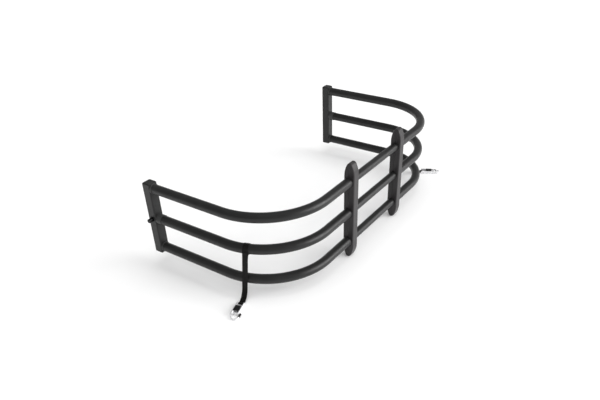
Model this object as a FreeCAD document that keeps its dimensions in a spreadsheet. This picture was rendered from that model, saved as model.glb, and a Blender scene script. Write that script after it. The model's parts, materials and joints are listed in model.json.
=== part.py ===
import FreeCAD, Part
import math
import os

# Truck bed extender: a U of three tubes on each side that telescopes over three centre tubes.
# X runs along the crosswise tubes, +Y points along the legs, +Z is up. The feet stand at Z = 0.

SIZES = {
    # crosswise tubes, in millimetres
    "corner_tube_radius": 22.225,
    "centre_tube_radius": 19.05,
    "centre_tube_wall": 2.0,
    "slide_clearance": 0.075,
    "centre_tube_half_length": 330,
    "tube_pitch": 152.4,
    "bottom_tube_height": 86.5,
    "base_y": -360.75,
    "leg_x": 730,
    "bend_radius": 310,
    "leg_reach": 748,
    # moulded middle uprights
    "mid_upright_x": 219.5,
    "mid_upright_width": 42,
    "mid_upright_front": 29,
    "mid_upright_rear": 24,
    "mid_upright_height": 480.5,
    "arch_height": 62,
    "arch_tip_radius": 15,
    "mid_edge_radius": 5,
    "mid_shell_wall": 4,
    "parting_groove": 2,
    "seat_lip": 7.5,
    "tube_fit": 0.1,
    "screw_radius": 3,
    "screw_head_radius": 5,
    "screw_head_length": 6,
    "screw_length": 34,
    "screw_recess": 8,
    "screw_socket_radius": 2.9,
    # end uprights
    "end_upright_width": 48.6,
    "end_upright_depth": 44.8,
    "end_upright_rear": 750.5,
    "end_upright_bottom": 63.9,
    "end_upright_tall": 350,
    "end_upright_wall": 2,
    "end_corner_radius": 5,
    "cap_top_tall": 5.5,
    "cap_bottom_tall": 3,
    "cap_top_chamfer": 4,
    "cap_bottom_chamfer": 1.5,
    "collar_radius": 24,
    "collar_length": 7,
    "middle_collar_length": 30,
    # pivot pins
    "pivot_radius": 9.5,
    "pivot_reach": 20,
    "pivot_flange_radius": 13,
    "pivot_flange_thick": 2.5,
    "pivot_stud_radius": 5,
    "pivot_stud_length": 17,
    "pivot_y": 728,
    "pivot_chamfer": 1.5,
    "nut_across_corners": 18.5,
    "nut_thick": 6,
    "nut_setback": 3,
    # straps: each hangs from its middle tube and lies out to a buckle on the ground
    "webbing_width": 25,
    "webbing_thick": 3,
    "webbing_loop_gap": 0.6,
    "left_loop_turn": 199.5,
    "left_strap_x": -797,
    "left_strap_y": -164,
    "left_strap_turn": 197.7,
    "right_loop_turn": -36,
    "right_strap_x": 747.6,
    "right_strap_y": -282,
    "right_strap_turn": -64,
    # cam buckles and hooks, with X measured from the bar that holds the webbing
    "bar_radius": 2.5,
    "bar_loop_gap": 0.2,
    "rear_bar_z": 4.9,
    "front_bar_x": 70,
    "front_bar_z": 11.6,
    "ear_thick": 2.5,
    "ear_inner_y": 14.5,
    "ear_height": 15,
    "plate_start": 6,
    "plate_length": 50,
    "plate_thick": 2.5,
    "lever_pin_x": 36,
    "lever_pin_z": 11,
    "lever_pin_radius": 2,
    "lever_pin_gap": 0.05,
    "lever_start": 26,
    "lever_length": 32,
    "lever_width": 24,
    "lever_thick": 3.5,
    "cam_radius": 6,
    "hook_wire_radius": 3,
    "hook_eye_radius": 6.5,
    "hook_eye_y": -10,
    "hook_shank": 16,
    "hook_bend_radius": 16.5,
    "hook_return": 20,
    "hook_tip_radius": 5,
    "hook_tip_length": 20,
    "hook_tip_end": 2,
}

X_AXIS = FreeCAD.Vector(1, 0, 0)
Y_AXIS = FreeCAD.Vector(0, 1, 0)
Z_AXIS = FreeCAD.Vector(0, 0, 1)
ALONG_X = FreeCAD.Rotation(Y_AXIS, 90)
ALONG_MINUS_X = FreeCAD.Rotation(Y_AXIS, -90)
ALONG_Y = FreeCAD.Rotation(X_AXIS, -90)
UPRIGHT = FreeCAD.Rotation()

SIDES = (("left", -1), ("right", 1))
LEVELS = (("bottom", 0), ("middle", 1), ("top", 2))

# Heights of the four screws in each middle upright, as shares of the tube pitch above the bottom tube.
SCREW_SHARES = (-0.28, 0.5, 1.5, 2.28)

# Middles of the cored cells, one on each side of every screw between the tubes, as the same shares.
CELL_SHARES = (0.25, 0.75, 1.25, 1.75)

# The webbing's route below the tube, in its strap's frame: along the buckle, across it, and up.
HANGING_ROUTE = {
    "left": ((-58.8, 8, 130), (-58, 2, 78), (-53, 0.5, 32), (-24, 0, 1.5), (0, 0, 1.5)),
    "right": ((-50.2, -33, 130), (-48.5, -31.8, 78), (-44, -20, 32), (-24, 0, 1.5), (0, 0, 1.5)),
}

# Share of its shorter run that each bend in the webbing takes up.
BEND_SHARE = 0.45

# An edge that spans less than this along an axis counts as flat to it, in millimetres.
FLAT = 1e-3

doc = FreeCAD.newDocument("BedExtender")
sheet = doc.addObject("Spreadsheet::Sheet", "Sizes")
sub_parts = []


def fill_sheet():
    """One row for each driving dimension: its name in column A, its value, with an alias, in column B."""
    for row, (name, value) in enumerate(SIZES.items(), 1):
        sheet.set(f"A{row}", name)
        sheet.set(f"B{row}", str(value))
        sheet.setAlias(f"B{row}", name)
    doc.recompute()


def size(name):
    """The sheet's own value, for the few shapes that are made with Part's functions."""
    return float(sheet.get(name))


def keep(thing, label):
    """Name a finished sub-part; it is checked and written at the end."""
    thing.Label = label
    sub_parts.append(thing)
    return thing


def bind(thing, **formulas):
    """Bind properties to the sheet. A trailing _x, _y or _z key places the object."""
    for name, formula in formulas.items():
        path = {"x": "Placement.Base.x", "y": "Placement.Base.y", "z": "Placement.Base.z"}.get(name, name)
        thing.setExpression(path, formula)
    return thing


def primitive(kind, name, turn=UPRIGHT, **formulas):
    """A Part primitive, turned first and then bound."""
    thing = doc.addObject(f"Part::{kind}", name)
    thing.Placement = FreeCAD.Placement(FreeCAD.Vector(), turn)
    return bind(thing, **formulas)


def rod(name, turn, radius, length, **place):
    return primitive("Cylinder", name, turn, Radius=radius, Height=length, **place)


def fused(name, shapes):
    joined = doc.addObject("Part::MultiFuse", name)
    joined.Shapes = shapes
    return joined


def cut(name, base, tools):
    """Take one or more tools away from the base."""
    result = doc.addObject("Part::Cut", name)
    result.Base = base
    result.Tool = tools[0] if len(tools) == 1 else fused(f"{name}_tools", tools)
    return result


def group(name, solids):
    """Separate solids in one node."""
    compound = doc.addObject("Part::Compound", name)
    compound.Links = solids
    return compound


def level_height(step):
    return f"Sizes.bottom_tube_height + {step} * Sizes.tube_pitch"


def edges_where(feature, test):
    """Names of the feature's edges that pass the test."""
    return [f"Edge{number}" for number, edge in enumerate(feature.Shape.Edges, 1) if test(edge)]


def is_vertical(edge):
    box = edge.BoundBox
    return box.ZLength > FLAT and box.XLength < FLAT and box.YLength < FLAT


# ---- Crosswise tubes -------------------------------------------------------------------------


def centre_tube(level, step):
    """Straight inner tube whose two ends slide inside the corner tubes."""
    name = f"centre_tube_{level}"
    place = {
        "x": "-Sizes.centre_tube_half_length",
        "y": "Sizes.base_y",
        "z": level_height(step),
    }
    length = "2 * Sizes.centre_tube_half_length"
    outer = rod(f"{name}_outer", ALONG_X, "Sizes.centre_tube_radius", length, **place)
    bore_radius = "Sizes.centre_tube_radius - Sizes.centre_tube_wall"
    bore = rod(f"{name}_bore", ALONG_X, bore_radius, length, **place)
    keep(cut(name, outer, [bore]), name)


def bent_rod(name, sign, step, radius):
    """A round rod along the base, a quarter bend and the leg."""
    bend_x = f"{sign} * (Sizes.leg_x - Sizes.bend_radius)"
    bend_y = "Sizes.base_y + Sizes.bend_radius"
    height = level_height(step)
    inner_end = "(Sizes.mid_upright_x - Sizes.mid_upright_width / 2 + Sizes.seat_lip)"
    base = rod(
        f"{name}_base",
        ALONG_X if sign > 0 else ALONG_MINUS_X,
        radius,
        f"Sizes.leg_x - Sizes.bend_radius - {inner_end}",
        x=f"{sign} * {inner_end}",
        y="Sizes.base_y",
        z=height,
    )
    bend = primitive(
        "Torus",
        f"{name}_bend",
        FreeCAD.Rotation(Z_AXIS, 180 if sign < 0 else -90),
        Radius1="Sizes.bend_radius",
        Radius2=radius,
        x=bend_x,
        y=bend_y,
        z=height,
    )
    bend.Angle3 = 90
    leg = rod(
        f"{name}_leg",
        ALONG_Y,
        radius,
        "Sizes.leg_reach - Sizes.bend_radius",
        x=f"{sign} * Sizes.leg_x",
        y=bend_y,
        z=height,
    )
    return fused(name, [base, bend, leg])


def corner_tube(side, sign, level, step):
    """Outer tube from the middle upright, round the bend, to the end upright."""
    name = f"{side}_corner_tube_{level}"
    outer = bent_rod(f"{name}_outer", sign, step, "Sizes.corner_tube_radius")
    bore = bent_rod(f"{name}_bore", sign, step, "Sizes.centre_tube_radius + Sizes.slide_clearance")
    tools = [bore]
    if level == "middle":
        tools.append(pivot_hole(f"{name}_pivot_hole", sign))
    keep(cut(name, outer, tools), name)


# ---- Middle uprights -------------------------------------------------------------------------


def arch_points():
    """Key points of the side outline: arches of two radii that meet the straight sides tangentially."""
    half = (size("mid_upright_front") + size("mid_upright_rear")) / 2
    rise = size("arch_height")
    tip = size("arch_tip_radius")
    flank = (half**2 + (rise - tip) ** 2 - tip**2) / (2 * (half - tip))
    # the tip arc and the flank arc touch on the line through their centres
    lean = math.atan2(rise - tip, flank - half)
    touch_y = tip * math.cos(lean)
    touch_z = tip * math.sin(lean)
    mid_lean = lean / 2
    mid_y = half - flank + flank * math.cos(mid_lean)
    mid_z = flank * math.sin(mid_lean)
    return half, rise, tip, touch_y, touch_z, mid_y, mid_z


def outline_arcs(centre_y, base_z, up):
    """Rear flank, tip and front flank arcs of one end; up is +1 for the top and -1 for the foot."""
    half, rise, tip, touch_y, touch_z, mid_y, mid_z = arch_points()

    def point(y, z):
        return FreeCAD.Vector(centre_y + y, base_z + up * z, 0)

    tip_base = rise - tip
    return [
        Part.Arc(point(half, 0), point(mid_y, mid_z), point(touch_y, tip_base + touch_z)),
        Part.Arc(point(touch_y, tip_base + touch_z), point(0, rise), point(-touch_y, tip_base + touch_z)),
        Part.Arc(point(-touch_y, tip_base + touch_z), point(-mid_y, mid_z), point(-half, 0)),
    ]


def mid_upright_blank(side, sign):
    """The whole moulding before it is split and cored: its side outline, padded to its width."""
    body = doc.addObject("PartDesign::Body", f"{side}_mid_upright_blank")
    plane = next(part for part in body.Origin.OriginFeatures if part.Role == "YZ_Plane")
    sketch = body.newObject("Sketcher::SketchObject", f"{side}_mid_outline")
    sketch.AttachmentSupport = [(plane, "")]
    sketch.MapMode = "FlatFace"
    centre_y = (size("mid_upright_rear") - size("mid_upright_front")) / 2
    rise = size("arch_height")
    tall = size("mid_upright_height")
    top = outline_arcs(centre_y, tall - rise, 1)
    foot = outline_arcs(centre_y, rise, -1)
    front = Part.LineSegment(top[2].EndPoint, foot[2].EndPoint)
    rear = Part.LineSegment(foot[0].StartPoint, top[0].StartPoint)
    for curve in (*top, front, *foot, rear):
        sketch.addGeometry(curve, False)
    pad = body.newObject("PartDesign::Pad", f"{side}_mid_pad")
    pad.Profile = sketch
    pad.Midplane = True
    pad.setExpression("Length", "Sizes.mid_upright_width")
    doc.recompute()
    rounding = body.newObject("PartDesign::Fillet", f"{side}_mid_rounding")
    rounding.Base = (pad, edges_where(pad, lambda edge: edge.BoundBox.XLength < FLAT))
    rounding.setExpression("Radius", "Sizes.mid_edge_radius")
    bind(body, x=f"{sign} * Sizes.mid_upright_x", y="Sizes.base_y")
    return body


def seat_tools(name, sign):
    """Tube seats: the corner tube enters from outside and stops at a lip that the centre tube passes."""
    tools = []
    inner_face = "(Sizes.mid_upright_x - Sizes.mid_upright_width / 2)"
    outward = ALONG_X if sign > 0 else ALONG_MINUS_X
    for level, step in LEVELS:
        seat = rod(
            f"{name}_seat_{level}",
            outward,
            "Sizes.corner_tube_radius",
            "Sizes.mid_upright_width",
            x=f"{sign} * ({inner_face} + Sizes.seat_lip)",
            y="Sizes.base_y",
            z=level_height(step),
        )
        passage = rod(
            f"{name}_passage_{level}",
            outward,
            "Sizes.centre_tube_radius + Sizes.tube_fit",
            "2 * Sizes.seat_lip",
            x=f"{sign} * ({inner_face} - Sizes.seat_lip / 2)",
            y="Sizes.base_y",
            z=level_height(step),
        )
        tools += [seat, passage]
    return tools


def cell_tools(name, sign, front):
    """Cored cells between the tubes, open only to the parting plane."""
    tools = []
    depth = "Sizes.mid_upright_front" if front else "Sizes.mid_upright_rear"
    tall = "(Sizes.tube_pitch / 2 - Sizes.corner_tube_radius - 3 * Sizes.mid_shell_wall)"
    for number, share in enumerate(CELL_SHARES):
        middle = f"(Sizes.bottom_tube_height + {share} * Sizes.tube_pitch)"
        nudge = "Sizes.corner_tube_radius / 2 - Sizes.mid_shell_wall / 2"
        shift = f"+ {nudge}" if number % 2 == 0 else f"- ({nudge})"
        cell = primitive(
            "Box",
            f"{name}_cell_{number}",
            Length="Sizes.mid_upright_width - 2 * Sizes.mid_shell_wall",
            Width=f"{depth} - Sizes.mid_shell_wall",
            Height=tall,
            x=f"{sign} * Sizes.mid_upright_x - Sizes.mid_upright_width / 2 + Sizes.mid_shell_wall",
            y=f"Sizes.base_y - ({depth} - Sizes.mid_shell_wall)" if front else "Sizes.base_y",
            z=f"{middle} {shift} - {tall} / 2",
        )
        tools.append(cell)
    return tools


def parting_tools(name, sign):
    """A square bar on edge along each side and over each end, for a V groove at the parting plane."""
    tools = []
    for edge, shift in (("inner", "-"), ("outer", "+")):
        side_bar = primitive(
            "Prism",
            f"{name}_groove_{edge}",
            Circumradius="Sizes.parting_groove",
            Height="Sizes.mid_upright_height",
            x=f"{sign} * Sizes.mid_upright_x {shift} Sizes.mid_upright_width / 2",
            y="Sizes.base_y",
        )
        tools.append(side_bar)
    for edge, height in (("foot", "0"), ("top", "Sizes.mid_upright_height")):
        end_bar = primitive(
            "Prism",
            f"{name}_groove_{edge}",
            ALONG_X,
            Circumradius="Sizes.parting_groove",
            Height="Sizes.mid_upright_width",
            x=f"{sign} * Sizes.mid_upright_x - Sizes.mid_upright_width / 2",
            y="Sizes.base_y",
            z=height,
        )
        tools.append(end_bar)
    for tool in tools:
        tool.Polygon = 4
    return tools


def screw_place(sign, share):
    return {
        "x": f"{sign} * Sizes.mid_upright_x",
        "z": f"Sizes.bottom_tube_height + {share} * Sizes.tube_pitch",
    }


def screw_hole_tools(name, sign, front):
    """Clearance holes with head recesses in the rear shell, pilot holes in the front shell."""
    tools = []
    for number, share in enumerate(SCREW_SHARES):
        place = screw_place(sign, share)
        seat_y = "Sizes.mid_upright_rear - Sizes.screw_recess"
        shank = rod(
            f"{name}_screw_hole_{number}",
            ALONG_Y,
            "Sizes.screw_radius + Sizes.tube_fit",
            "Sizes.screw_length + Sizes.screw_recess",
            y=f"Sizes.base_y + {seat_y} - Sizes.screw_length - Sizes.tube_fit",
            **place,
        )
        tools.append(shank)
        if not front:
            recess = rod(
                f"{name}_recess_{number}",
                ALONG_Y,
                "Sizes.screw_head_radius + 3 * Sizes.tube_fit",
                "2 * Sizes.screw_recess",
                y=f"Sizes.base_y + {seat_y}",
                **place,
            )
            tools.append(recess)
    return tools


def mid_upright(side, sign):
    """Front and rear shells that clamp round the three tubes."""
    blank = mid_upright_blank(side, sign)
    for half in ("front", "rear"):
        front = half == "front"
        name = f"{side}_mid_upright_{half}"
        block = primitive(
            "Box",
            f"{name}_block",
            Length="2 * Sizes.mid_upright_width",
            Width="2 * Sizes.mid_upright_front",
            Height="Sizes.mid_upright_height",
            x=f"{sign} * Sizes.mid_upright_x - Sizes.mid_upright_width",
            y="Sizes.base_y - 2 * Sizes.mid_upright_front" if front else "Sizes.base_y",
        )
        shell = doc.addObject("Part::Common", f"{name}_half")
        shell.Base = blank
        shell.Tool = block
        tools = seat_tools(name, sign) + cell_tools(name, sign, front)
        tools += screw_hole_tools(name, sign, front) + parting_tools(name, sign)
        keep(cut(name, shell, tools), name)


def mid_upright_screws(side, sign):
    """Four socket-head screws, put in from the rear."""
    name = f"{side}_mid_upright_screws"
    screws = []
    for number, share in enumerate(SCREW_SHARES):
        place = screw_place(sign, share)
        seat_y = "Sizes.base_y + Sizes.mid_upright_rear - Sizes.screw_recess"
        shank = rod(
            f"{name}_shank_{number}",
            ALONG_Y,
            "Sizes.screw_radius",
            "Sizes.screw_length",
            y=f"{seat_y} - Sizes.screw_length",
            **place,
        )
        head = rod(
            f"{name}_head_{number}",
            ALONG_Y,
            "Sizes.screw_head_radius",
            "Sizes.screw_head_length",
            y=seat_y,
            **place,
        )
        socket = primitive(
            "Prism",
            f"{name}_socket_{number}",
            ALONG_Y,
            Circumradius="Sizes.screw_socket_radius",
            Height="Sizes.screw_head_length",
            y=f"{seat_y} + Sizes.screw_head_length / 2",
            **place,
        )
        blank = fused(f"{name}_blank_{number}", [shank, head])
        screws.append(cut(f"{name}_{number}", blank, [socket]))
    keep(group(name, screws), name)


# ---- End uprights ----------------------------------------------------------------------------


def end_block(name, kind, body, **formulas):
    return bind(body.newObject(f"PartDesign::{kind}", name), **formulas)


def round_corners(body, name, feature, radius):
    """Round the four upright edges of a block."""
    doc.recompute()
    rounding = body.newObject("PartDesign::Fillet", name)
    rounding.Base = (feature, edges_where(feature, is_vertical))
    rounding.setExpression("Radius", radius)
    return rounding


def end_upright(side, sign):
    """Box section with three tube mouths in its front wall and a stud hole in its outer wall."""
    name = f"{side}_end_upright"
    body = doc.addObject("PartDesign::Body", name)
    outer = end_block(
        f"{name}_outer",
        "AdditiveBox",
        body,
        Length="Sizes.end_upright_width",
        Width="Sizes.end_upright_depth",
        Height="Sizes.end_upright_tall",
        x="-Sizes.end_upright_width / 2",
        y="-Sizes.end_upright_depth / 2",
    )
    round_corners(body, f"{name}_corners", outer, "Sizes.end_corner_radius")
    end_block(
        f"{name}_inside",
        "SubtractiveBox",
        body,
        Length="Sizes.end_upright_width - 2 * Sizes.end_upright_wall",
        Width="Sizes.end_upright_depth - 2 * Sizes.end_upright_wall",
        Height="Sizes.end_upright_tall",
        x="-Sizes.end_upright_width / 2 + Sizes.end_upright_wall",
        y="-Sizes.end_upright_depth / 2 + Sizes.end_upright_wall",
    )
    for level, step in LEVELS:
        mouth = body.newObject("PartDesign::SubtractiveCylinder", f"{name}_mouth_{level}")
        mouth.Placement = FreeCAD.Placement(FreeCAD.Vector(), ALONG_Y)
        bind(
            mouth,
            Radius="Sizes.corner_tube_radius",
            Height="Sizes.end_upright_depth / 2",
            y="-Sizes.end_upright_depth / 2",
            z=f"{level_height(step)} - Sizes.end_upright_bottom",
        )
    stud_hole = body.newObject("PartDesign::SubtractiveCylinder", f"{name}_stud_hole")
    stud_hole.Placement = FreeCAD.Placement(FreeCAD.Vector(), ALONG_X if sign > 0 else ALONG_MINUS_X)
    bind(
        stud_hole,
        Radius="Sizes.pivot_stud_radius + Sizes.tube_fit",
        Height="Sizes.end_upright_width",
        y="Sizes.pivot_y - Sizes.end_upright_rear + Sizes.end_upright_depth / 2",
        z=f"{level_height(1)} - Sizes.end_upright_bottom",
    )
    bind(
        body,
        x=f"{sign} * Sizes.leg_x",
        y="Sizes.base_y + Sizes.end_upright_rear - Sizes.end_upright_depth / 2",
        z="Sizes.end_upright_bottom",
    )
    keep(body, name)


def end_cap(side, sign, end):
    """Plate with a chamfered outer edge that closes one end of the end upright."""
    name = f"{side}_end_cap_{end}"
    top = end == "top"
    thick = f"Sizes.cap_{end}_tall"
    body = doc.addObject("PartDesign::Body", name)
    cover = end_block(
        f"{name}_cover",
        "AdditiveBox",
        body,
        Length="Sizes.end_upright_width",
        Width="Sizes.end_upright_depth",
        Height=thick,
        x="-Sizes.end_upright_width / 2",
        y="-Sizes.end_upright_depth / 2",
        z="0" if top else f"-({thick})",
    )
    rounding = round_corners(body, f"{name}_corners", cover, "Sizes.end_corner_radius")
    doc.recompute()
    edge_z = rounding.Shape.BoundBox.ZMax if top else rounding.Shape.BoundBox.ZMin
    chamfer = body.newObject("PartDesign::Chamfer", f"{name}_chamfer")

    def on_outer_face(edge):
        return edge.BoundBox.ZLength < FLAT and abs(edge.BoundBox.ZMin - edge_z) < FLAT

    chamfer.Base = (rounding, edges_where(rounding, on_outer_face))
    chamfer.setExpression("Size", f"Sizes.cap_{end}_chamfer")
    bottom = "Sizes.end_upright_bottom"
    bind(
        body,
        x=f"{sign} * Sizes.leg_x",
        y="Sizes.base_y + Sizes.end_upright_rear - Sizes.end_upright_depth / 2",
        z=f"{bottom} + Sizes.end_upright_tall" if top else bottom,
    )
    keep(body, name)


def tube_collars(side, sign):
    """Three round collars that close the joint between each leg and the end upright."""
    name = f"{side}_tube_collars"
    upright_face = "Sizes.base_y + Sizes.end_upright_rear - Sizes.end_upright_depth"
    collars = []
    for level, step in LEVELS:
        length = "Sizes.middle_collar_length" if level == "middle" else "Sizes.collar_length"
        place = {
            "x": f"{sign} * Sizes.leg_x",
            "y": f"{upright_face} - {length}",
            "z": level_height(step),
        }
        outer = rod(f"{name}_{level}_outer", ALONG_Y, "Sizes.collar_radius", length, **place)
        bore = rod(f"{name}_{level}_bore", ALONG_Y, "Sizes.corner_tube_radius", length, **place)
        collars.append(cut(f"{name}_{level}", outer, [bore]))
    keep(group(name, collars), name)


# ---- Pivot pins ------------------------------------------------------------------------------


def pivot_hole(name, sign):
    """Stud hole through the outer wall of the middle tube."""
    return rod(
        name,
        ALONG_X if sign > 0 else ALONG_MINUS_X,
        "Sizes.pivot_stud_radius + Sizes.tube_fit",
        "Sizes.corner_tube_radius + Sizes.tube_fit",
        x=f"{sign} * Sizes.leg_x",
        y="Sizes.base_y + Sizes.pivot_y",
        z=level_height(1),
    )


def pivot_pin(side, sign):
    """Shouldered pin: flange against the end upright, plain journal outward, stud inward."""
    name = f"{side}_pivot_pin"
    outward = ALONG_X if sign > 0 else ALONG_MINUS_X
    face = "(Sizes.leg_x + Sizes.end_upright_width / 2)"
    centre = {"y": "Sizes.base_y + Sizes.pivot_y", "z": level_height(1)}
    flange = rod(
        f"{name}_flange",
        outward,
        "Sizes.pivot_flange_radius",
        "Sizes.pivot_flange_thick",
        x=f"{sign} * {face}",
        **centre,
    )
    journal = rod(
        f"{name}_journal",
        outward,
        "Sizes.pivot_radius",
        "Sizes.pivot_flange_thick + Sizes.pivot_reach - Sizes.pivot_chamfer",
        x=f"{sign} * {face}",
        **centre,
    )
    nose = primitive(
        "Cone",
        f"{name}_nose",
        outward,
        Radius1="Sizes.pivot_radius",
        Radius2="Sizes.pivot_radius - Sizes.pivot_chamfer",
        Height="Sizes.pivot_chamfer",
        x=f"{sign} * ({face} + Sizes.pivot_flange_thick + Sizes.pivot_reach - Sizes.pivot_chamfer)",
        **centre,
    )
    stud = rod(
        f"{name}_stud",
        outward,
        "Sizes.pivot_stud_radius",
        "Sizes.pivot_stud_length",
        x=f"{sign} * ({face} - Sizes.pivot_stud_length)",
        **centre,
    )
    keep(fused(name, [flange, journal, nose, stud]), name)


def pivot_nut(side, sign):
    """Hexagon nut on the stud, inside the middle tube."""
    name = f"{side}_pivot_nut"
    outward = ALONG_X if sign > 0 else ALONG_MINUS_X
    inner_wall = "(Sizes.leg_x + Sizes.centre_tube_radius)"
    start = f"{sign} * ({inner_wall} - Sizes.nut_setback - Sizes.nut_thick)"
    centre = {"y": "Sizes.base_y + Sizes.pivot_y", "z": level_height(1)}
    hexagon = primitive(
        "Prism",
        f"{name}_hexagon",
        outward,
        Circumradius="Sizes.nut_across_corners / 2",
        Height="Sizes.nut_thick",
        x=start,
        **centre,
    )
    thread = rod(
        f"{name}_thread",
        outward,
        "Sizes.pivot_stud_radius",
        "Sizes.nut_thick",
        x=start,
        **centre,
    )
    keep(cut(name, hexagon, [thread]), name)


# ---- Straps ----------------------------------------------------------------------------------
# A strap is built in its own frame: X along the buckle toward the hook, Y across the webbing.


def strap_placement(side):
    """The strap's own frame: on the ground under the buckle's rear bar, with X toward the hook."""
    turn = FreeCAD.Rotation(Z_AXIS, size(f"{side}_strap_turn"))
    place = FreeCAD.Vector(size(f"{side}_strap_x"), size(f"{side}_strap_y"), 0)
    return FreeCAD.Placement(place, turn)


def loop_placement(side, sign):
    """Seen from the strap's frame: the centre of the tube's bend, with X toward the webbing's loop."""
    turn = FreeCAD.Rotation(Z_AXIS, size(f"{side}_loop_turn"))
    centre = FreeCAD.Vector(
        sign * (size("leg_x") - size("bend_radius")),
        size("base_y") + size("bend_radius"),
        0,
    )
    return strap_placement(side).inverse() * FreeCAD.Placement(centre, turn)


def keep_on_strap(thing, name, side):
    thing.Placement = strap_placement(side)
    keep(thing, name)


def loop_height():
    return size("bottom_tube_height") + size("tube_pitch")


def strap_route(side, sign):
    """Points of the webbing's centre line in the strap's frame, from the middle tube to the buckle."""
    twist = math.radians(size(f"{side}_loop_turn") - size(f"{side}_strap_turn"))
    edge_swing = abs(math.sin(twist)) * size("webbing_width") / 2
    loop_radius = size("corner_tube_radius") + size("webbing_loop_gap")
    reach = size("bend_radius") + loop_radius + size("webbing_thick") / 2 + edge_swing
    start = loop_placement(side, sign).multVec(FreeCAD.Vector(reach, 0, loop_height()))
    return [start] + [FreeCAD.Vector(*point) for point in HANGING_ROUTE[side]]


def rounded_path(points):
    """Straight runs joined by tangent arcs, each arc as large as its shorter run allows."""
    edges = []
    radii = []
    start = points[0]
    for before, corner, after in zip(points, points[1:], points[2:]):
        toward = (corner - before).normalize()
        away = (after - corner).normalize()
        turn = toward.getAngle(away)
        shorter = min((corner - before).Length, (after - corner).Length)
        setback = BEND_SHARE * shorter
        radius = setback / math.tan(turn / 2)
        arc_start = corner - toward * setback
        arc_end = corner + away * setback
        inward = (away - toward).normalize()
        centre = corner + inward * (radius / math.cos(turn / 2))
        arc_middle = centre - inward * radius
        edges.append(Part.LineSegment(start, arc_start).toShape())
        edges.append(Part.Arc(arc_start, arc_middle, arc_end).toShape())
        radii.append(round(radius, 1))
        start = arc_end
    edges.append(Part.LineSegment(start, points[-1]).toShape())
    return Part.Wire(edges), radii


def level_band(path, width, thick):
    """A flat band along a path. Its width stays level and square to the buckle all the way."""
    start = path.OrderedVertexes[0].Point
    half_width = FreeCAD.Vector(0, width / 2, 0)
    half_thick = FreeCAD.Vector(thick / 2, 0, 0)
    corners = [
        start - half_thick - half_width,
        start + half_thick - half_width,
        start + half_thick + half_width,
        start - half_thick + half_width,
    ]
    sweep = Part.BRepOffsetAPI.MakePipeShell(path)
    sweep.setBiNormalMode(Y_AXIS)
    sweep.add(Part.makePolygon(corners + corners[:1]))
    sweep.build()
    sweep.makeSolid()
    return Part.Solid(sweep.shape())


def ring(centre_x, centre_z, inner, outer, width):
    """A flat band round a bar that lies along Y."""
    corner = FreeCAD.Vector(centre_x, -width / 2, centre_z)
    disc = Part.makeCylinder(outer, width, corner, Y_AXIS)
    hole = Part.makeCylinder(inner, width, corner, Y_AXIS)
    return disc.cut(hole)


def strap_webbing(side, sign):
    """Webbing sewn round the middle tube, hanging outside the bottom tube and lying out to the buckle."""
    name = f"{side}_strap_webbing"
    width = size("webbing_width")
    thick = size("webbing_thick")
    path, radii = rounded_path(strap_route(side, sign))
    band = level_band(path, width, thick)
    print(f"{name}: length {path.Length:.1f} mm, bend radii {radii} mm")
    print(f"{name}: volume {band.Volume:.0f}, section times length {width * thick * path.Length:.0f}")
    loop_inner = size("corner_tube_radius") + size("webbing_loop_gap")
    tube_loop = ring(size("bend_radius"), loop_height(), loop_inner, loop_inner + thick, width)
    tube_loop.Placement = loop_placement(side, sign) * tube_loop.Placement
    bar_loop_inner = size("bar_radius") + size("bar_loop_gap")
    bar_loop_outer = size("rear_bar_z") - size("bar_loop_gap")
    bar_loop = ring(0, size("rear_bar_z"), bar_loop_inner, bar_loop_outer, width)
    bar_corner = FreeCAD.Vector(0, -width / 2, size("rear_bar_z"))
    bar_hole = Part.makeCylinder(bar_loop_inner, width, bar_corner, Y_AXIS)
    feature = doc.addObject("Part::Feature", name)
    feature.Shape = band.cut(bar_hole).fuse([tube_loop, bar_loop]).removeSplitter()
    keep_on_strap(feature, name, side)


def buckle_frame(side):
    """Cast frame: two ears, a floor plate, a bar for the webbing and a bar for the hook."""
    name = f"{side}_buckle_frame"
    span = "2 * (Sizes.ear_inner_y + Sizes.ear_thick)"
    pieces = []
    for edge, shift in (("near", "-(Sizes.ear_inner_y + Sizes.ear_thick)"), ("far", "Sizes.ear_inner_y")):
        middle = primitive(
            "Box",
            f"{name}_ear_{edge}",
            Length="Sizes.front_bar_x",
            Width="Sizes.ear_thick",
            Height="Sizes.ear_height",
            y=shift,
        )
        rear_round = rod(
            f"{name}_ear_{edge}_rear",
            ALONG_Y,
            "Sizes.rear_bar_z",
            "Sizes.ear_thick",
            y=shift,
            z="Sizes.rear_bar_z",
        )
        front_round = rod(
            f"{name}_ear_{edge}_front",
            ALONG_Y,
            "2 * Sizes.bar_radius",
            "Sizes.ear_thick",
            x="Sizes.front_bar_x",
            y=shift,
            z="Sizes.front_bar_z",
        )
        pieces += [middle, rear_round, front_round]
    plate = primitive(
        "Box",
        f"{name}_plate",
        Length="Sizes.plate_length",
        Width=span,
        Height="Sizes.plate_thick",
        x="Sizes.plate_start",
        y=f"-{span} / 2",
    )
    rear_bar = rod(
        f"{name}_rear_bar",
        ALONG_Y,
        "Sizes.bar_radius",
        span,
        y=f"-{span} / 2",
        z="Sizes.rear_bar_z",
    )
    front_bar = rod(
        f"{name}_front_bar",
        ALONG_Y,
        "Sizes.bar_radius",
        span,
        x="Sizes.front_bar_x",
        y=f"-{span} / 2",
        z="Sizes.front_bar_z",
    )
    solid = fused(f"{name}_solid", pieces + [plate, rear_bar, front_bar])
    hole = rod(
        f"{name}_pin_hole",
        ALONG_Y,
        "Sizes.lever_pin_radius",
        span,
        x="Sizes.lever_pin_x",
        y=f"-{span} / 2",
        z="Sizes.lever_pin_z",
    )
    keep_on_strap(cut(name, solid, [hole]), name, side)


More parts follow.
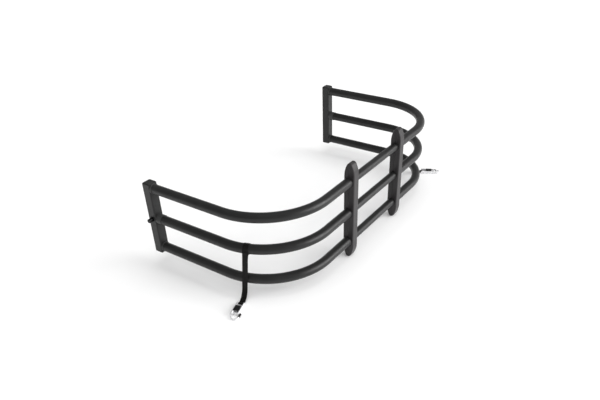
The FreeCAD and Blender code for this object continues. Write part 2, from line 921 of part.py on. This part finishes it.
def lever_pin(side):
    """Rivet that carries the lever between the ears."""
    name = f"{side}_lever_pin"
    span = "2 * (Sizes.ear_inner_y + Sizes.ear_thick)"
    pin = rod(
        f"{name}_rod",
        ALONG_Y,
        "Sizes.lever_pin_radius",
        span,
        x="Sizes.lever_pin_x",
        y=f"-{span} / 2",
        z="Sizes.lever_pin_z",
    )
    keep_on_strap(group(name, [pin]), name, side)


def buckle_lever(side):
    """Cam barrel round its pin, with the thumb plate on top."""
    name = f"{side}_buckle_lever"
    barrel = rod(
        f"{name}_barrel",
        ALONG_Y,
        "Sizes.cam_radius",
        "Sizes.lever_width",
        x="Sizes.lever_pin_x",
        y="-Sizes.lever_width / 2",
        z="Sizes.lever_pin_z",
    )
    plate = primitive(
        "Box",
        f"{name}_plate",
        Length="Sizes.lever_length",
        Width="Sizes.lever_width",
        Height="Sizes.lever_thick",
        x="Sizes.lever_start",
        y="-Sizes.lever_width / 2",
        z="Sizes.lever_pin_z + Sizes.cam_radius - Sizes.lever_thick / 2",
    )
    bore = rod(
        f"{name}_bore",
        ALONG_Y,
        "Sizes.lever_pin_radius + Sizes.lever_pin_gap",
        "Sizes.lever_width",
        x="Sizes.lever_pin_x",
        y="-Sizes.lever_width / 2",
        z="Sizes.lever_pin_z",
    )
    solid = fused(f"{name}_solid", [barrel, plate])
    keep_on_strap(cut(name, solid, [bore]), name, side)


def hook_height():
    return "(Sizes.front_bar_z - Sizes.hook_eye_radius)"


def hook_wire(name, radius, start, length):
    """The hook's return run, or the bore of the sleeve that covers it."""
    return rod(
        name,
        ALONG_X,
        radius,
        length,
        x=start,
        y="Sizes.hook_eye_y + 2 * Sizes.hook_bend_radius",
        z=hook_height(),
    )


def strap_hook(side):
    """Hook bent from one wire: an eye round the front bar, a shank, a half turn and a return run."""
    name = f"{side}_strap_hook"
    bend_x = "(Sizes.front_bar_x + Sizes.hook_shank)"
    # three quarters of a ring, which starts where the shank leaves the bottom of the eye
    eye = primitive(
        "Torus",
        f"{name}_eye",
        ALONG_Y * FreeCAD.Rotation(Z_AXIS, 90),
        Radius1="Sizes.hook_eye_radius",
        Radius2="Sizes.hook_wire_radius",
        x="Sizes.front_bar_x",
        y="Sizes.hook_eye_y",
        z="Sizes.front_bar_z",
    )
    eye.Angle3 = 270
    shank = rod(
        f"{name}_shank",
        ALONG_X,
        "Sizes.hook_wire_radius",
        "Sizes.hook_shank",
        x="Sizes.front_bar_x",
        y="Sizes.hook_eye_y",
        z=hook_height(),
    )
    bend = primitive(
        "Torus",
        f"{name}_bend",
        FreeCAD.Rotation(Z_AXIS, -90),
        Radius1="Sizes.hook_bend_radius",
        Radius2="Sizes.hook_wire_radius",
        x=bend_x,
        y="Sizes.hook_eye_y + Sizes.hook_bend_radius",
        z=hook_height(),
    )
    bend.Angle3 = 180
    back = hook_wire(
        f"{name}_back",
        "Sizes.hook_wire_radius",
        f"{bend_x} - Sizes.hook_return",
        "Sizes.hook_return",
    )
    hook = fused(name, [eye, shank, bend, back])
    keep_on_strap(hook, name, side)


def hook_tip(side):
    """Dipped vinyl sleeve over the end of the hook."""
    name = f"{side}_hook_tip"
    end = "(Sizes.front_bar_x + Sizes.hook_shank - Sizes.hook_return)"
    outer = hook_wire(
        f"{name}_outer",
        "Sizes.hook_tip_radius",
        f"{end} - Sizes.hook_tip_end",
        "Sizes.hook_tip_length",
    )
    bore = hook_wire(f"{name}_bore", "Sizes.hook_wire_radius", end, "Sizes.hook_tip_length")
    keep_on_strap(cut(name, outer, [bore]), name, side)


# ---- Assembly --------------------------------------------------------------------------------


def build():
    fill_sheet()
    for level, step in LEVELS:
        centre_tube(level, step)
    for side, sign in SIDES:
        for level, step in LEVELS:
            corner_tube(side, sign, level, step)
        mid_upright(side, sign)
        mid_upright_screws(side, sign)
        end_upright(side, sign)
        end_cap(side, sign, "top")
        end_cap(side, sign, "bottom")
        tube_collars(side, sign)
        pivot_pin(side, sign)
        pivot_nut(side, sign)
        strap_webbing(side, sign)
        buckle_frame(side)
        lever_pin(side)
        buckle_lever(side)
        strap_hook(side)
        hook_tip(side)
    doc.recompute()


def check_and_write():
    """Stop on any failed object or bad shape before a single file is written."""
    for thing in doc.Objects:
        if "Invalid" in thing.State or "Error" in thing.State:
            raise RuntimeError(f"{thing.Name} failed: {thing.State}")
    for thing in sub_parts:
        if thing.Shape.isNull() or not thing.Shape.isValid():
            raise RuntimeError(f"{thing.Label} has a bad shape")
        if thing.Shape.Volume <= 0:
            raise RuntimeError(f"{thing.Label} has no volume")
    os.makedirs("parts", exist_ok=True)
    for thing in sub_parts:
        thing.Shape.exportStep(f"parts/{thing.Label}.step")
    print(f"{len(sub_parts)} sub-parts written")


build()
check_and_write()
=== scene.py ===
import json
import math

import bmesh
import bpy
from mathutils import Matrix, Vector


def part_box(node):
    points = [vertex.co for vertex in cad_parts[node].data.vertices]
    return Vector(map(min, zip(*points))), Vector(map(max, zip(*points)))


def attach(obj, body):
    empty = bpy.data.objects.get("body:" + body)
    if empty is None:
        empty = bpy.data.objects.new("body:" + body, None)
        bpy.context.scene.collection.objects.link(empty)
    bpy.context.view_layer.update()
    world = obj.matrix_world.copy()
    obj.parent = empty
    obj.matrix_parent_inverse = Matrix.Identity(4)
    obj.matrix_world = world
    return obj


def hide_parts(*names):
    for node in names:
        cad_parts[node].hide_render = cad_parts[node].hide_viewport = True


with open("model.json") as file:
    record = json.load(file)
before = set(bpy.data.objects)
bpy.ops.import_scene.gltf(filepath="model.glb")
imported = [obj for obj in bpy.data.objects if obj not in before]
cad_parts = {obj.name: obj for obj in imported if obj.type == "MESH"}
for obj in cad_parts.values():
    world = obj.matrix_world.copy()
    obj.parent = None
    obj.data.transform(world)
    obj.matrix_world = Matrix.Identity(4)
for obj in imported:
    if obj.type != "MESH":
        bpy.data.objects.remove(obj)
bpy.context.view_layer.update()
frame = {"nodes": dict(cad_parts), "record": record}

# A truck bed extender: finishes for its CAD parts, its two webbing straps, and the studio.

# ---- Sizes in metres, taken from the CAD frame -------------------------------------------------

SIDES = (("left", -1), ("right", 1))
LEVELS = ("bottom", "middle", "top")


def span(node, axis):
    """Lowest and highest value of a CAD node along one axis."""
    low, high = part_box(node)
    return low[axis], high[axis]


def middle(node, axis):
    low, high = span(node, axis)
    return (low + high) / 2


TUBE_RADIUS = 0.022225
TUBE_HEIGHTS = {level: middle(f"centre_tube_{level}", 2) for level in LEVELS}
BASE_Y = middle("centre_tube_bottom", 1)
LEG_X = middle("right_end_upright", 0)
BEND_RADIUS = 0.310
BEND_X = LEG_X - BEND_RADIUS
BEND_Y = BASE_Y + BEND_RADIUS

WEBBING_WIDTH = 0.025
WEBBING_LAYER = 0.0013
LAYER_SHIFT = 0.0008
WEBBING_GAP = 0.0006
WEBBING_THICK = 0.003

# Each strap's frame, as in part.py: on the ground under the buckle's rear bar, with X toward the hook.
STRAP_FRAMES = {"left": ((-0.797, -0.164), 197.7), "right": ((0.7476, -0.282), -64)}
LOOP_TURN = {"left": 199.5, "right": -36}

# The webbing's route below the tube, repeated from part.py: along the buckle, across it, and up.
HANGING_ROUTE = {
    "left": (
        (-0.0588, 0.008, 0.130),
        (-0.058, 0.002, 0.078),
        (-0.053, 0.0005, 0.032),
        (-0.024, 0, 0.0015),
        (0, 0, 0.0015),
    ),
    "right": (
        (-0.0502, -0.033, 0.130),
        (-0.0485, -0.0318, 0.078),
        (-0.044, -0.020, 0.032),
        (-0.024, 0, 0.0015),
        (0, 0, 0.0015),
    ),
}
REAR_BAR_HEIGHT = 0.0049
BAR_RADIUS = 0.0025
BAR_GAP = 0.0001

# Distances along the hanging part: where its width has turned to the buckle's, where the inner layer
# starts, how far short of the buckle it stops, where the tube's loop joins it, and its sewn box.
TWIST_LENGTH = 0.16
INNER_START = 0.05
INNER_STOP = 0.018
LOOP_JOIN = 0.052
SEWING_MIDDLE = 0.044

# The sewn box: threads each way, their pitches, how far they stand out and half of each thread's size.
STITCH_ROWS = 9
STITCH_PITCH_ACROSS = 0.0024
STITCH_PITCH_ALONG = 0.0030
STITCH_RISE = 0.0006
STITCH_HALF_SIZE = (0.0005, 0.0005, 0.0012)

# Degrees round the tube, from the outward side over the top: where its loop starts, how far it goes, and
# by where the outer layer has come in to the tube.
TUBE_LOOP_START = -4
TUBE_LOOP_TURN = 314
TUBE_LOOP_SETTLED = 90
TUBE_LOOP_STEPS = 48

# The reach of the curve that takes the loop's end to the hanging part: off the tube, and onto the band.
LOOP_LEAVE = 0.012
LOOP_ARRIVE = 0.016

# The turn round the buckle's rear bar, measured from the bar toward the hook: where its lower layer starts
# on the ground and its upper layer ends, and the reach of the curves between them.
BAR_LOOP_START = -0.009
BAR_LOOP_END = -0.019
UNDER_REACH = 0.003
TOP_REACH = 0.005
END_REACH = (0.008, 0, 0.0005)
UNDER_STEPS = 6
BAR_TURN_STEPS = 16

# How finely the webbing is meshed: along its route's spline, along a joining curve, round a selvedge and
# across a face.
ROUTE_STEPS = 24
CURVE_STEPS = 14
SELVEDGE_STEPS = 6
FACE_STEPS = 12


def strap_matrix(side):
    """From the strap's own frame to the row frame."""
    (x, y), degrees = STRAP_FRAMES[side]
    return Matrix.Translation((x, y, 0)) @ Matrix.Rotation(math.radians(degrees), 4, "Z")


def loop_matrix(side, sign):
    """From the centre of the tube's bend, with X toward the webbing's loop, to the row frame."""
    turn = Matrix.Rotation(math.radians(LOOP_TURN[side]), 4, "Z")
    return Matrix.Translation((sign * BEND_X, BEND_Y, 0)) @ turn


# ---- Camera ------------------------------------------------------------------------------------

VIEW_TURN = math.radians(-53.33)
VIEW_RISE = math.radians(35.13)
VIEW_ROLL = math.radians(-2.70)
EYE = Vector((-2.1915, BASE_Y - 1.1418, 1.5618))
SENSOR_WIDTH = 36
LENS = 34.44
SHIFT_X = 0.0081
SHIFT_Y = 0.1030
SIGHT_END = 100


def make_camera():
    back = Vector((
        math.sin(VIEW_TURN) * math.cos(VIEW_RISE),
        -math.cos(VIEW_TURN) * math.cos(VIEW_RISE),
        math.sin(VIEW_RISE),
    ))
    level_right = Vector((math.cos(VIEW_TURN), math.sin(VIEW_TURN), 0))
    level_up = back.cross(level_right)
    right = math.cos(VIEW_ROLL) * level_right + math.sin(VIEW_ROLL) * level_up
    up = back.cross(right)
    data = bpy.data.cameras.new("camera")
    data.sensor_width = SENSOR_WIDTH
    data.lens = LENS
    data.shift_x = SHIFT_X
    data.shift_y = SHIFT_Y
    data.clip_end = SIGHT_END
    camera = bpy.data.objects.new("camera", data)
    bpy.context.scene.collection.objects.link(camera)
    camera.matrix_world = Matrix.Translation(EYE) @ Matrix((right, up, back)).transposed().to_4x4()
    bpy.context.scene.camera = camera


# ---- Materials ---------------------------------------------------------------------------------

# The range that holds most of a noise's values.
NOISE_RANGE = (0.3, 0.7)

# A Mix node's colour sockets: share, first and second colour in, and the colour out.
MIX_SHARE, MIX_FIRST, MIX_SECOND, MIX_RESULT = 0, 6, 7, 2

# The webbing's weave: metres between its ribs and between its picks, and a wave's length at scale 1.
RIB_PITCH = 0.0011
PICK_PITCH = 0.0016
UNIT_WAVE = math.pi / 10


class Look:
    """A node material with a few short ways to add what real surfaces have."""

    def __init__(self, name, colour, rough, metal=0.0):
        self.material = bpy.data.materials.new(name)
        self.material.use_nodes = True
        self.nodes = self.material.node_tree.nodes
        self.links = self.material.node_tree.links
        self.shader = self.nodes["Principled BSDF"]
        self.colour = colour
        self.shader.inputs["Base Color"].default_value = (*colour, 1)
        self.shader.inputs["Roughness"].default_value = rough
        self.shader.inputs["Metallic"].default_value = metal
        self.place = self.nodes.new("ShaderNodeTexCoord").outputs["Object"]
        self.height = None

    def node(self, kind, **values):
        made = self.nodes.new(kind)
        for key, value in values.items():
            if key in made.inputs:
                made.inputs[key].default_value = value
            else:
                setattr(made, key, value)
        return made

    def noise(self, scale, detail=4, stretch=None):
        """Noise of that many cells to the metre, stretched along an axis if asked."""
        texture = self.node("ShaderNodeTexNoise", Scale=scale, Detail=detail)
        source = self.place
        if stretch:
            mapping = self.node("ShaderNodeMapping", Scale=stretch)
            self.links.new(source, mapping.inputs["Vector"])
            source = mapping.outputs["Vector"]
        self.links.new(source, texture.inputs["Vector"])
        return texture.outputs["Fac"]

    def spread(self, value, low, high):
        """Map the middle of a noise's range to low..high."""
        remap = self.nodes.new("ShaderNodeMapRange")
        remap.inputs["From Min"].default_value = NOISE_RANGE[0]
        remap.inputs["From Max"].default_value = NOISE_RANGE[1]
        remap.inputs["To Min"].default_value = low
        remap.inputs["To Max"].default_value = high
        self.links.new(value, remap.inputs["Value"])
        return remap.outputs["Result"]

    def vary_rough(self, value, low, high):
        self.links.new(self.spread(value, low, high), self.shader.inputs["Roughness"])

    def vary_colour(self, value, darker, lighter):
        """Blend the base colour between two brightnesses."""
        mix = self.node("ShaderNodeMix", data_type="RGBA")
        mix.inputs[MIX_FIRST].default_value = (*[darker * part for part in self.colour], 1)
        mix.inputs[MIX_SECOND].default_value = (*[lighter * part for part in self.colour], 1)
        self.links.new(self.spread(value, 0, 1), mix.inputs[MIX_SHARE])
        self.links.new(mix.outputs[MIX_RESULT], self.shader.inputs["Base Color"])

    def bump(self, value, distance, strength=1.0):
        """Add a height in metres on top of any before it."""
        bump = self.node("ShaderNodeBump", Strength=strength, Distance=distance)
        self.links.new(value, bump.inputs["Height"])
        if self.height:
            self.links.new(self.height, bump.inputs["Normal"])
        self.height = bump.outputs["Normal"]
        self.links.new(self.height, self.shader.inputs["Normal"])


def powder_coat(name, colour, rough):
    """Black powder coat: orange peel, a faint mottle, and grain in its gloss."""
    look = Look(name, colour, rough)
    look.shader.inputs["Specular IOR Level"].default_value = 0.36
    look.vary_colour(look.noise(14), 0.8, 1.25)
    look.vary_rough(look.noise(60, 6), rough - 0.06, rough + 0.08)
    look.bump(look.noise(420, 3), 0.0004, 0.7)
    look.bump(look.noise(1600, 2), 0.00006, 0.5)
    return look.material


def moulded_nylon(name, colour, rough):
    """Glass-filled nylon: fine spark texture and soft flow marks along the moulding."""
    look = Look(name, colour, rough)
    look.shader.inputs["Specular IOR Level"].default_value = 0.32
    look.vary_colour(look.noise(9, 5, (1, 1, 0.25)), 0.86, 1.16)
    look.vary_rough(look.noise(220, 6), rough - 0.08, rough + 0.08)
    look.bump(look.noise(1900, 5), 0.00012, 0.6)
    look.bump(look.noise(30, 2, (1, 1, 0.2)), 0.0006, 0.25)
    return look.material


def plated(name, colour, rough, darker=0.85, metal=1.0):
    """Zinc plate: brushed grain, small stains and a rough bloom; less metal is a whiter bloom."""
    look = Look(name, colour, rough, metal)
    look.vary_colour(look.noise(160, 6), darker, 1.06)
    look.vary_rough(look.noise(500, 6), rough - 0.08, rough + 0.14)
    look.bump(look.noise(900, 4), 0.00005, 0.2)
    return look.material


def vinyl(name, colour):
    """Dipped vinyl: soft gloss with drips of uneven thickness."""
    look = Look(name, colour, 0.3)
    look.shader.inputs["Coat Weight"].default_value = 0.15
    look.vary_colour(look.noise(80), 0.8, 1.3)
    look.vary_rough(look.noise(260, 4), 0.24, 0.42)
    look.bump(look.noise(120, 2), 0.0006, 0.4)
    return look.material


def woven(name, colour):
    """Polyester webbing: raised ribs along it, picks across it, a colour with painted shade in the weave's
    gaps and painted highlight on its crowns, and a slight sheen.
    """
    look = Look(name, colour, 0.62)
    look.shader.inputs["Specular IOR Level"].default_value = 0.2
    look.shader.inputs["Sheen Weight"].default_value = 0.01
    look.shader.inputs["Sheen Roughness"].default_value = 0.4
    place = look.nodes.new("ShaderNodeUVMap").outputs["UV"]
    heights = []
    for direction, pitch in (("X", RIB_PITCH), ("Y", PICK_PITCH)):
        wave = look.node("ShaderNodeTexWave", wave_type="BANDS", bands_direction=direction)
        wave.inputs["Scale"].default_value = UNIT_WAVE / pitch
        wave.inputs["Distortion"].default_value = 0.6
        wave.inputs["Detail"].default_value = 1
        look.links.new(place, wave.inputs["Vector"])
        heights.append(wave.outputs["Fac"])
    weave_height_and_painted_shade = look.node("ShaderNodeMath", operation="MULTIPLY")
    look.links.new(heights[0], weave_height_and_painted_shade.inputs[0])
    look.links.new(heights[1], weave_height_and_painted_shade.inputs[1])
    # the base colour follows the weave's height: painted shade darkens the gaps between ribs and picks,
    # and painted highlight lightens their crowns
    look.vary_colour(weave_height_and_painted_shade.outputs["Value"], 0.35, 2.4)
    look.bump(weave_height_and_painted_shade.outputs["Value"], 0.0004, 0.9)
    look.bump(look.noise(2500, 3), 0.0001, 0.5)
    return look.material


def floor_look():
    look = Look("studio_floor", (0.9, 0.9, 0.9), 0.7)
    look.shader.inputs["Specular IOR Level"].default_value = 0.15
    look.vary_rough(look.noise(3), 0.65, 0.75)
    return look.material


LOOKS = {
    "tube_coat": powder_coat("tube_coat", (0.012, 0.012, 0.012), 0.36),
    "end_coat": powder_coat("end_coat", (0.012, 0.012, 0.012), 0.36),
    "upright_nylon": moulded_nylon("upright_nylon", (0.031, 0.029, 0.030), 0.36),
    "cap_nylon": moulded_nylon("cap_nylon", (0.012, 0.012, 0.012), 0.42),
    "collar_nylon": moulded_nylon("collar_nylon", (0.042, 0.042, 0.042), 0.40),
    "screw_steel": plated("screw_steel", (0.05, 0.05, 0.05), 0.36),
    "pivot_steel": plated("pivot_steel", (0.035, 0.035, 0.036), 0.38),
    "nut_steel": plated("nut_steel", (0.45, 0.45, 0.46), 0.35),
    "webbing": woven("webbing", (0.0055, 0.0052, 0.0049)),
    "buckle_zinc": plated("buckle_zinc", (0.86, 0.86, 0.87), 0.26, 0.9, 0.5),
    "lever_black": powder_coat("lever_black", (0.004, 0.004, 0.004), 0.40),
    "rivet_steel": plated("rivet_steel", (0.6, 0.6, 0.61), 0.3),
    "hook_wire": plated("hook_wire", (0.88, 0.88, 0.89), 0.24, 0.9, 0.5),
    "tip_vinyl": vinyl("tip_vinyl", (0.004, 0.004, 0.004)),
}


def dress_cad_nodes():
    """Every CAD node takes the finish of its material slot."""
    for row in frame["record"]["subparts"]:
        node = frame["nodes"][row["node"]]
        look = LOOKS[row["material_slot"]]
        if not node.material_slots:
            node.data.materials.append(look)
        for place in node.material_slots:
            place.material = look


# ---- Mesh helpers ------------------------------------------------------------------------------


def piece(name, mesh, body, slot_name, *stands_for):
    """Link a new object, give it its finish, and hang it on its body."""
    thing = bpy.data.objects.new(name, mesh)
    bpy.context.scene.collection.objects.link(thing)
    if not mesh.materials:
        mesh.materials.append(LOOKS[slot_name])
    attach(thing, body)
    if stands_for:
        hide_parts(*stands_for)
    return thing


def smooth(mesh):
    for face in mesh.polygons:
        face.use_smooth = True


def grid_mesh(name, rings, uv_at):
    """Skin a row of closed rings of points and close its ends. uv_at gives (along, across) in metres."""
    mesh = bpy.data.meshes.new(name)
    count = len(rings[0])
    points = [point for ring in rings for point in ring]
    faces = []
    for row in range(len(rings) - 1):
        for step in range(count):
            after = (step + 1) % count
            low = row * count
            high = low + count
            faces.append((low + step, low + after, high + after, high + step))
    faces.append(tuple(reversed(range(count))))
    faces.append(tuple(range((len(rings) - 1) * count, len(rings) * count)))
    mesh.from_pydata(points, [], faces)
    layer = mesh.uv_layers.new(name="UVMap")
    for face in mesh.polygons:
        for corner in face.loop_indices:
            vertex = mesh.loops[corner].vertex_index
            layer.data[corner].uv = uv_at(vertex // count, vertex % count)
    smooth(mesh)
    mesh.validate()
    mesh.update()
    return mesh


# ---- Straps ------------------------------------------------------------------------------------


def hanging_points(side, sign):
    """The route's points in the row frame, from the loop on the middle tube to the buckle's rear bar."""
    twist = math.radians(LOOP_TURN[side] - STRAP_FRAMES[side][1])
    edge_swing = abs(math.sin(twist)) * WEBBING_WIDTH / 2
    reach = BEND_RADIUS + TUBE_RADIUS + WEBBING_GAP + WEBBING_THICK / 2 + edge_swing
    start = loop_matrix(side, sign) @ Vector((reach, 0, TUBE_HEIGHTS["middle"]))
    frame_matrix = strap_matrix(side)
    return [start] + [frame_matrix @ Vector(point) for point in HANGING_ROUTE[side]]


def nurbs_line(points):
    """Points read from one NURBS spline with the route's points as its control points."""
    data = bpy.data.curves.new("route", "CURVE")
    data.dimensions = "3D"
    spline = data.splines.new("NURBS")
    spline.points.add(len(points) - 1)
    for place, point in zip(spline.points, points):
        place.co = (*point, 1)
    spline.order_u = 3
    spline.use_endpoint_u = True
    spline.resolution_u = ROUTE_STEPS
    holder = bpy.data.objects.new("route", data)
    bpy.context.scene.collection.objects.link(holder)
    mesh = bpy.data.meshes.new_from_object(holder)
    line = [vertex.co.copy() for vertex in mesh.vertices]
    bpy.data.objects.remove(holder)
    bpy.data.meshes.remove(mesh)
    return line


def band_section(width, thick):
    """Closed outline of a flat band with rounded selvedges: (across, through) pairs."""
    half = width / 2
    edge = thick / 2
    outline = []
    for side in (1, -1):
        for step in range(SELVEDGE_STEPS + 1):
            angle = side * math.pi / 2 - math.pi * step / SELVEDGE_STEPS
            outline.append((side * (half - edge) + edge * math.cos(angle), edge * math.sin(angle)))
        for step in range(1, FACE_STEPS):
            outline.append((side * (half - edge - (width - thick) * step / FACE_STEPS), -side * edge))
    # this way round, the skinned band's faces point outward
    return outline[::-1]


class Band:
    """A flat band along a line: where each point is, and which way is across and through."""

    def __init__(self, line, across_at):
        self.line = line
        self.travelled = [0.0]
        for before, after in zip(line, line[1:]):
            self.travelled.append(self.travelled[-1] + (after - before).length)
        self.axes = []
        for number in range(len(line)):
            ahead = line[min(number + 1, len(line) - 1)]
            behind = line[max(number - 1, 0)]
            forward = (ahead - behind).normalized()
            across = across_at(self.travelled[number])
            through = forward.cross(across).normalized()
            self.axes.append((through.cross(forward).normalized(), through, forward))

    def point(self, number, across, through):
        side, face, _ = self.axes[number]
        return self.line[number] + side * across + face * through

    def nearest(self, distance):
        return min(range(len(self.line)), key=lambda number: abs(self.travelled[number] - distance))

    def spot(self, distance, across, through):
        """The point at an exact distance along the band, and the axes there."""
        number = max(n for n in range(len(self.line) - 1) if self.travelled[n] <= distance)
        run = self.travelled[number + 1] - self.travelled[number]
        share = (distance - self.travelled[number]) / run
        side, face, forward = self.axes[number]
        middle_point = self.line[number].lerp(self.line[number + 1], share)
        return middle_point + side * across + face * through, (side, face, forward)

    def mesh(self, name, shift=0.0, start=0.0, end=math.inf):
        """One layer, moved through the band's thickness by shift, between two distances along it."""
        section = band_section(WEBBING_WIDTH, WEBBING_LAYER)
        rows = [n for n in range(len(self.line)) if start <= self.travelled[n] <= end]
        rings = [[self.point(n, a, b + shift) for a, b in section] for n in rows]

        def uv(row, step):
            return self.travelled[rows[row]], section[step][0]

        return grid_mesh(name, rings, uv)


def join_meshes(name, meshes):
    """One mesh from several, keeping UVs."""
    joined = bmesh.new()
    for mesh in meshes:
        joined.from_mesh(mesh)
        bpy.data.meshes.remove(mesh)
    result = bpy.data.meshes.new(name)
    joined.to_mesh(result)
    joined.free()
    return result


def curved_run(start, leave, arrive, end, steps=CURVE_STEPS):
    """Points of a Bezier curve from start to end, whose middle control points are leave and arrive."""
    run = []
    for step in range(1, steps + 1):
        t = step / steps
        weights = ((1 - t) ** 3, 3 * (1 - t) ** 2 * t, 3 * (1 - t) * t**2, t**3)
        parts = [weight * point for weight, point in zip(weights, (start, leave, arrive, end))]
        run.append(sum(parts, Vector((0, 0, 0))))
    return run


def tube_loop(side, sign, band):
    """The webbing's turn round the middle tube, from the outer layer to the inner one."""
    matrix = loop_matrix(side, sign)
    across = matrix.to_3x3() @ Vector((0, 1, 0))
    radius = TUBE_RADIUS + WEBBING_GAP + WEBBING_LAYER / 2
    centre = Vector((BEND_RADIUS, 0, TUBE_HEIGHTS["middle"]))
    outer_layer = radius + WEBBING_THICK - 2 * WEBBING_LAYER + LAYER_SHIFT
    line = []
    for step in range(TUBE_LOOP_STEPS + 1):
        degrees = TUBE_LOOP_START + TUBE_LOOP_TURN * step / TUBE_LOOP_STEPS
        grow = (outer_layer - radius) * max(0, 1 - degrees / TUBE_LOOP_SETTLED)
        angle = math.radians(degrees)
        around = Vector((math.cos(angle), 0, math.sin(angle))) * (radius + grow)
        line.append(matrix @ (centre + around))
    heading = (line[-1] - line[-2]).normalized()
    number = band.nearest(LOOP_JOIN)
    goal = band.point(number, 0, -LAYER_SHIFT)
    forward = band.axes[number][2]
    line += curved_run(line[-1], line[-1] + heading * LOOP_LEAVE, goal - forward * LOOP_ARRIVE, goal)
    return Band(line, lambda distance: across).mesh("loop")


def bar_loop(side, band):
    """The webbing's turn round the buckle's rear bar and back over itself."""
    matrix = strap_matrix(side)
    across = matrix.to_3x3() @ Vector((0, 1, 0))
    radius = BAR_RADIUS + WEBBING_LAYER / 2 + BAR_GAP
    centre = Vector((0, 0, REAR_BAR_HEIGHT))
    floor_layer = Vector((BAR_LOOP_START, 0, WEBBING_LAYER / 2 + BAR_GAP))
    under = centre - Vector((0, 0, radius))
    line = [floor_layer]
    ease = Vector((UNDER_REACH, 0, 0))
    line += curved_run(floor_layer, floor_layer + ease, under - ease, under, UNDER_STEPS)
    for step in range(1, BAR_TURN_STEPS + 1):
        angle = -math.pi / 2 + math.pi * step / BAR_TURN_STEPS
        line.append(centre + Vector((math.cos(angle), 0, math.sin(angle))) * radius)
    top = line[-1]
    rest = Vector((BAR_LOOP_END, 0, WEBBING_THICK / 2 + LAYER_SHIFT))
    line += curved_run(top, top - Vector((TOP_REACH, 0, 0)), rest + Vector(END_REACH), rest)
    return Band([matrix @ point for point in line], lambda distance: across).mesh("bar_loop")


def stitches(name, band):
    """A square sewn box with its cross: threads that stand out of the outer layer."""
    parts = bmesh.new()
    last = STITCH_ROWS - 1
    for row in range(STITCH_ROWS):
        distance = SEWING_MIDDLE + (row - last / 2) * STITCH_PITCH_ALONG
        for column in range(STITCH_ROWS):
            on_edge = row in (0, last) or column in (0, last)
            on_cross = row in (column, last - column)
            if not (on_edge or on_cross):
                continue
            across = (column - last / 2) * STITCH_PITCH_ACROSS
            spot, axes = band.spot(distance, across, LAYER_SHIFT + STITCH_RISE)
            turn = Matrix(axes).transposed().to_4x4()
            thread = Matrix.Translation(spot) @ turn @ Matrix.Diagonal((*STITCH_HALF_SIZE, 1))
            bmesh.ops.create_icosphere(parts, subdivisions=1, radius=1, matrix=thread)
    mesh = bpy.data.meshes.new(name)
    parts.to_mesh(mesh)
    parts.free()
    smooth(mesh)
    return mesh


def make_strap(side, sign):
    loop_across = loop_matrix(side, sign).to_3x3() @ Vector((0, 1, 0))
    buckle_across = strap_matrix(side).to_3x3() @ Vector((0, 1, 0))
    body = f"{side}_frame"

    def across_at(distance):
        """The band turns from the tube's direction to the buckle's as it falls."""
        share = min(1, max(0, distance / TWIST_LENGTH))
        return loop_across.lerp(buckle_across, share * share * (3 - 2 * share)).normalized()

    band = Band(nurbs_line(hanging_points(side, sign)), across_at)
    length = band.travelled[-1]
    layers = [
        band.mesh("outer", LAYER_SHIFT),
        band.mesh("inner", -LAYER_SHIFT, INNER_START, length - INNER_STOP),
    ]
    node = f"{side}_strap_webbing"
    webbing = piece(f"{side}_webbing", join_meshes(f"{side}_webbing", layers), body, "webbing", node)
    piece(f"{side}_webbing_loop", tube_loop(side, sign, band), body, "webbing", node)
    buckle_turn = piece(f"{side}_webbing_bar_loop", bar_loop(side, band), body, "webbing", node)
    sewing = piece(f"{side}_stitching", stitches("stitching", band), body, "webbing")


# ---- Stage and light ---------------------------------------------------------------------------


FLOOR_REACH = 30


def make_floor():
    mesh = bpy.data.meshes.new("floor")
    signs = ((-1, -1), (1, -1), (1, 1), (-1, 1))
    mesh.from_pydata([(x * FLOOR_REACH, y * FLOOR_REACH, 0) for x, y in signs], [], [(0, 1, 2, 3)])
    mesh.materials.append(floor_look())
    floor = bpy.data.objects.new("floor", mesh)
    bpy.context.scene.collection.objects.link(floor)


ROOM_LIGHT = 0.36
BACKDROP_LIGHT = 1.0

# Each lamp: the way its light travels, its strength, and its width in degrees.
OVERHEAD = ((0.05, 0.30, -1), 2.1, 80)
FRONT_FILL = ((-0.45, 0.86, -0.22), 3.4, 50)


def sun(name, toward, strength, degrees):
    """A wide soft lamp."""
    data = bpy.data.lights.new(name, "SUN")
    data.energy = strength
    data.angle = math.radians(degrees)
    lamp = bpy.data.objects.new(name, data)
    bpy.context.scene.collection.objects.link(lamp)
    lamp.rotation_mode = "QUATERNION"
    lamp.rotation_quaternion = Vector(toward).to_track_quat("-Z", "Y")
    return lamp


def make_light():
    world = bpy.data.worlds.new("studio")
    bpy.context.scene.world = world
    world.use_nodes = True
    room = world.node_tree.nodes["Background"]
    room.inputs["Color"].default_value = (1, 1, 1, 1)
    # the room lights the object dimly, but stands behind it as a pale backdrop
    nodes = world.node_tree.nodes
    level = nodes.new("ShaderNodeMapRange")
    level.inputs["To Min"].default_value = ROOM_LIGHT
    level.inputs["To Max"].default_value = BACKDROP_LIGHT
    ray = nodes.new("ShaderNodeLightPath").outputs["Is Camera Ray"]
    world.node_tree.links.new(ray, level.inputs["Value"])
    world.node_tree.links.new(level.outputs["Result"], room.inputs["Strength"])
    overhead = sun("overhead", *OVERHEAD)
    # the coats reflect the pale floor and the dim room, not the lamp above
    overhead.visible_glossy = False
    sun("front_fill", *FRONT_FILL)


make_camera()
bpy.context.scene.view_settings.view_transform = "Standard"
dress_cad_nodes()
for side, sign in SIDES:
    make_strap(side, sign)
make_floor()
make_light()
